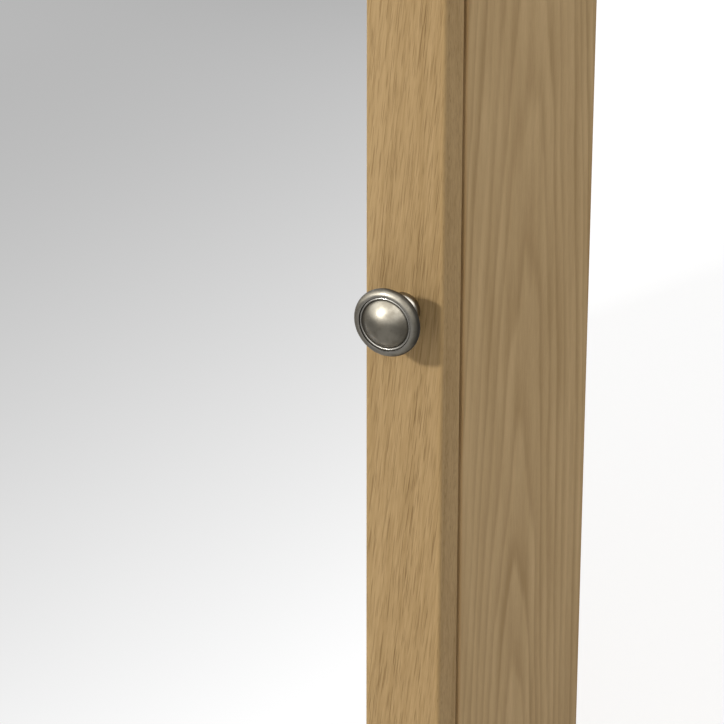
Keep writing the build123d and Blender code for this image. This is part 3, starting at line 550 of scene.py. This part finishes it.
outline_radius, outline_height = knob_outline.T
hollow_places, hollow_reach = [(12.62, 19.2), (11.32, 19.2), (5.4, 4.3)], [0.42, 0.42, 1.0]
hollows = near(hollow_places, hollow_reach).max(axis=1)
# Patina in the coved neck, deepened as painted shade where the rim overhangs it, most at its middle
# height.
neck_height, neck_reach, neck_depth = 10.5, 4.0, 0.4
on_neck = np.exp(-((outline_height - neck_height) / neck_reach) ** 2) * neck_depth
# Painted shade and dark reflection, over some unbuffed patina: the rim's underside and rounded
# outer side are darkened, fading out towards its front crest.
under_rim, rim_shade_top, rim_fade, rim_depth = 8.5, 19.9, 1.6, 0.90
outer_side = (outline_radius > rim_centre[0]) | (outline_height < rim_centre[1])
outer_side &= outline_radius > under_rim
rim_painted_shade = np.clip((rim_shade_top - outline_height) / rim_fade, 0.0, rim_depth) * outer_side
dark_along = np.clip(np.max([hollows, on_neck, rim_painted_shade], axis=0), 0.0, 1.0)
# Lighter pewter on the high points: the bead and the rim crest are rubbed bright, and the foot's
# rounded shoulder gets a painted highlight.
crest_places = [(bead_radius, groove_level + bead_lift + bead_wire), (13.0, 20.1), (7.2, 3.6)]
crest_reach, crest_shine = [0.5, 1.0, 0.9], [1.0, 0.45, 0.8]
bright_along = (near(crest_places, crest_reach) * crest_shine).max(axis=1)

pewter, tree, surface, here = new_material("antique_pewter")
surface["Metallic"].default_value = 1.0
skin = use_group(tree, metal_skin, {
    "Place": here, "Bright": (0.290, 0.266, 0.217, 1.0), "Dull": (0.168, 0.149, 0.115, 1.0),
    "Cloud Size": 0.0045, "Cloud Depth": 0.65, "Scratch Depth": 0.35})
dark_finish_and_shade = wire(tree, "Attribute", {}, 2, attribute_name="patina_and_shade")
crest_and_highlight = wire(tree, "Attribute", {}, 2, attribute_name="rubbed")
patina_and_shade_share, patina_roughness, pewter_roughness, crest_polish = 0.9, 0.20, 0.33, -0.12
dent_cells, dent_depth, dent_relief = (420, 420, 420), 0.6, 0.00008
# The rubbed crests and the painted highlight on the foot's shoulder lighten the colour here.
colour = mix_tones(tree, crest_and_highlight, skin["Color"], (0.480, 0.460, 0.420, 1.0))
# The dark tone laid over the knob: real patina in the grooves and the foot's corner, and painted
# shade on the neck and on the rim's underside and outer side.
colour = mix_tones(tree, maths(tree, "MULTIPLY", dark_finish_and_shade, patina_and_shade_share), colour,
                   (0.034, 0.031, 0.026, 1.0))
rough = maths(tree, "MULTIPLY_ADD", dark_finish_and_shade, patina_roughness, pewter_roughness)
rough = maths(tree, "ADD", skin["Roughness"], rough)
rough = maths(tree, "MULTIPLY_ADD", crest_and_highlight, crest_polish, rough)
dents = maths(tree, "MULTIPLY_ADD", noise(tree, here, dent_cells), dent_depth, skin["Height"])
surfaced(tree, surface, colour, rough,
         wire(tree, "Bump", {"Height": dents, "Distance": dent_relief, "Strength": 0.5}))
knob = add_piece("knob_turned", knob_points, knob_faces, "door", ["knob"], pewter)
for label, along in (("patina_and_shade", dark_along), ("rubbed", bright_along)):
    values = np.concatenate([np.repeat(along[1:-1], knob_around), along[[0, -1]]])
    knob.data.attributes.new(label, "FLOAT", "POINT").data.foreach_set("value", values)
knob.data.shade_smooth()
knob.data.set_sharp_from_angle(angle=radians(40))


# Knob screw and washer: a zinc-plated machine screw through the stile, which draws the knob's foot
# against the wood. Its head and the washer are sunk in a counterbore behind.
dress(screw_zinc, "knob_screw")
dress(zinc_plate, "knob_washer")


# Hinges: two pressed steel butt hinges in an antique finish to go with the knob, screwed to the
# front edge of the side and to the back of the stile, with a loose-headed pin through each.
hinge_finish = metal("antiqued_steel", (0.300, 0.285, 0.250), (0.160, 0.148, 0.125), 0.33,
                     cloud=0.003, clouding=0.8)
pin_finish = metal("hinge_pin_steel", (0.340, 0.325, 0.285), (0.200, 0.187, 0.160), 0.28)
for level in ("upper", "lower"):
    dress(hinge_finish, f"hinge_{level}_carcass_leaf", f"hinge_{level}_door_leaf")
    dress(pin_finish, f"hinge_{level}_pin")
dress(screw_zinc, "hinge_carcass_screws", "hinge_door_screws")


# Catch: a moulded housing with two ears, screwed inside the knob side, which holds a ferrite magnet
# between two steel pole plates, and a striker plate screwed to the back of the door.
def moulded(name, tones, rough, grain, relief):
    """A moulded or pressed material: fine speckle over slow clouds between two tones."""
    material, tree, surface, here = new_material(name)
    cloud_cells, speckle_roughness = (90, 90, 90), 0.14
    speckle = noise(tree, here, (grain,) * 3, 3.0)
    clouds = noise(tree, here, cloud_cells)
    share = maths(tree, "MULTIPLY_ADD", clouds, 0.5, maths(tree, "MULTIPLY", speckle, 0.5))
    light, dark = [(*tone, 1.0) for tone in tones]
    surfaced(tree, surface, mix_tones(tree, share, light, dark),
             maths(tree, "MULTIPLY_ADD", speckle, speckle_roughness, rough),
             wire(tree, "Bump", {"Height": speckle, "Distance": relief, "Strength": 0.5}))
    return material


dress(moulded("catch_nylon", ((0.78, 0.77, 0.73), (0.68, 0.67, 0.62)), 0.34, 900.0, 0.00005),
      "catch_housing")
dress(moulded("ferrite_block", ((0.055, 0.054, 0.053), (0.030, 0.030, 0.030)), 0.50, 2600.0,
              0.00008), "catch_magnet")
dress(zinc_plate, "catch_pole_plates", "striker_plate")
dress(screw_zinc, "catch_screws", "striker_screw")


# Bumpers: two buttons of soft clear-grey rubber. They are stuck to the back of the door, where it
# meets the side panel.
rubber = moulded("bumper_rubber_soft", ((0.52, 0.51, 0.48), (0.44, 0.43, 0.40)), 0.45, 700.0,
                 0.00004)
dress(rubber, "door_bumpers")


# Floor: a wide pale sheet that the cabinet stands on. The camera sees it white with the cabinet's
# shadow. The mirror sees it fade to grey towards the left, as the real one does, and satin metal
# sees half as much of it.
floor_level, floor_reach = cad_box[0].z - 0.0002, 40.0
floor_corners = np.array([(-1, -1, 0), (1, -1, 0), (1, 1, 0), (-1, 1, 0)]) * floor_reach
floor_corners[:, 2] = floor_level
floor_mesh = bpy.data.meshes.new("floor")
floor_mesh.from_pydata(floor_corners.tolist(), [], [(0, 1, 2, 3)])
floor = bpy.data.objects.new("floor", floor_mesh)
bpy.context.scene.collection.objects.link(floor)
paper = bpy.data.materials.new("floor_paper")
paper.use_nodes = True
tree = paper.node_tree
tree.nodes.clear()
rays = tree.nodes.new("ShaderNodeLightPath").outputs
here = wire(tree, "TexCoord", {}, "Object")
fade_way, far_left, fade_power, grey_left = (1.0, 0.2, 0.0), -0.85, 1.75, 0.479
toward_right = wire(tree, "VectorMath", {0: here, 1: fade_way}, 1, operation="DOT_PRODUCT")
reach = wire(tree, "MapRange", {0: toward_right, 1: far_left, 2: 0.0})
fading = maths(tree, "MULTIPLY_ADD", maths(tree, "POWER", reach, fade_power), 1.0 - grey_left,
               grey_left)
past_right, past_front, near_glow, glow_lost = (0.22, 0.60), (1.15, 2.2), 1.05, 0.50
x, y, _ = parts(tree, here)
beyond = maths(tree, "MAXIMUM", step_up(tree, x, *past_right),
               step_up(tree, maths(tree, "MULTIPLY", y, -1.0), *past_front))
dimmed = maths(tree, "SUBTRACT", near_glow, maths(tree, "MULTIPLY", beyond, glow_lost))
satin_loss, camera_glow = -0.5, 0.57
satin = maths(tree, "SUBTRACT", 1.0, rays["Is Singular Ray"])
dimmed = maths(tree, "MULTIPLY", dimmed, maths(tree, "MULTIPLY_ADD", satin, satin_loss, 1.0))
mirrored = wire(tree, "Emission", {"Strength": maths(tree, "MULTIPLY", fading, dimmed)})
pale = mix_tones(tree, rays["Is Camera Ray"], (0.62, 0.62, 0.62, 1.0), (0.60, 0.60, 0.60, 1.0))
lit = wire(tree, "BsdfDiffuse", {"Color": pale})
glow = wire(tree, "Emission", {"Strength": maths(tree, "MULTIPLY", rays["Is Camera Ray"],
                                                 camera_glow)})
seen = wire(tree, "AddShader", {0: lit, 1: glow})
sheet = wire(tree, "MixShader", {0: rays["Is Glossy Ray"], 1: seen, 2: mirrored})
output = tree.nodes.new("ShaderNodeOutputMaterial")
tree.links.new(sheet, output.inputs["Surface"])
floor_mesh.materials.append(paper)


# Light: a white room for the camera, and a soft grey one, brightest overhead, for the object.
# A small key lamp up on the left throws the knob's shadow, and two large soft lamps light the
# knob side and the back.
world = bpy.data.worlds.new("studio")
bpy.context.scene.world = world
world.use_nodes = True
tree = world.node_tree
tree.nodes.clear()
rays = tree.nodes.new("ShaderNodeLightPath").outputs
aim = wire(tree, "TexCoord", {}, "Generated")
overhead, overhead_start = Vector((-0.22, -0.42, 0.88)), 0.05
overhead_glow, horizon_glow, ambient, white = 2.7, 0.34, 0.42, 1.0
towards_top = wire(tree, "VectorMath", {0: aim, 1: overhead}, 1, operation="DOT_PRODUCT")
soft_room = maths(tree, "MULTIPLY_ADD", step_up(tree, towards_top, overhead_start, 1.0),
                  overhead_glow, horizon_glow)
for_glossy = maths(tree, "MULTIPLY", rays["Is Glossy Ray"], soft_room)
for_camera = maths(tree, "MAXIMUM", rays["Is Camera Ray"], rays["Is Transmission Ray"])
not_glossy = maths(tree, "SUBTRACT", 1.0, rays["Is Glossy Ray"])
for_rest = maths(tree, "MULTIPLY_ADD", not_glossy, ambient, for_glossy)
strength = wire(tree, "Mix", {0: for_camera, 2: for_rest, 3: white}, 0, data_type="FLOAT")
background = wire(tree, "Background", {"Color": (1.0, 1.0, 1.0, 1.0), "Strength": strength})
output = tree.nodes.new("ShaderNodeOutputWorld")
tree.links.new(background, output.inputs["Surface"])

lit_spot = Vector((0.2, -0.16, 0.0))


def lamp(name, way, distance, size, power):
    """A square area lamp at a distance from the knob, facing it."""
    light = bpy.data.lights.new(name, "AREA")
    light.size, light.energy = size, power
    made = bpy.data.objects.new(name, light)
    made.location = lit_spot + way.normalized() * distance
    made.rotation_euler = (-way).to_track_quat("-Z", "Y").to_euler()
    bpy.context.scene.collection.objects.link(made)


lamp("key_lamp", Vector((-0.453, -0.785, 0.423)), distance=3.0, size=0.24, power=52.0)
lamp("side_lamp", Vector((1.0, -0.25, 0.90)), distance=1.5, size=1.0, power=5.4)
lamp("back_lamp", Vector((-0.5, 1.0, 0.8)), distance=3.0, size=2.0, power=20.0)


# Camera: above and to the right of the knob, looking down and to the left. Its lens is long, so
# the cabinet's upright edges stay nearly parallel.
yaw, pitch = radians(26.65), radians(24.2)
camera_place = (0.8357, -1.46405, 0.6217)
forward = Vector((-np.sin(yaw) * np.cos(pitch), np.cos(yaw) * np.cos(pitch), -np.sin(pitch)))
rightward = Vector((np.cos(yaw), np.sin(yaw), 0.0))
upward = rightward.cross(forward)
camera_data = bpy.data.cameras.new("camera")
camera_data.sensor_width, camera_data.lens = 36.0, 175.0
camera = bpy.data.objects.new("camera", camera_data)
axes = Matrix((rightward, upward, -forward)).transposed().to_4x4()
camera.matrix_world = Matrix.Translation(camera_place) @ axes
bpy.context.scene.collection.objects.link(camera)
bpy.context.scene.camera = camera
bpy.context.scene.view_settings.view_transform = "Standard"
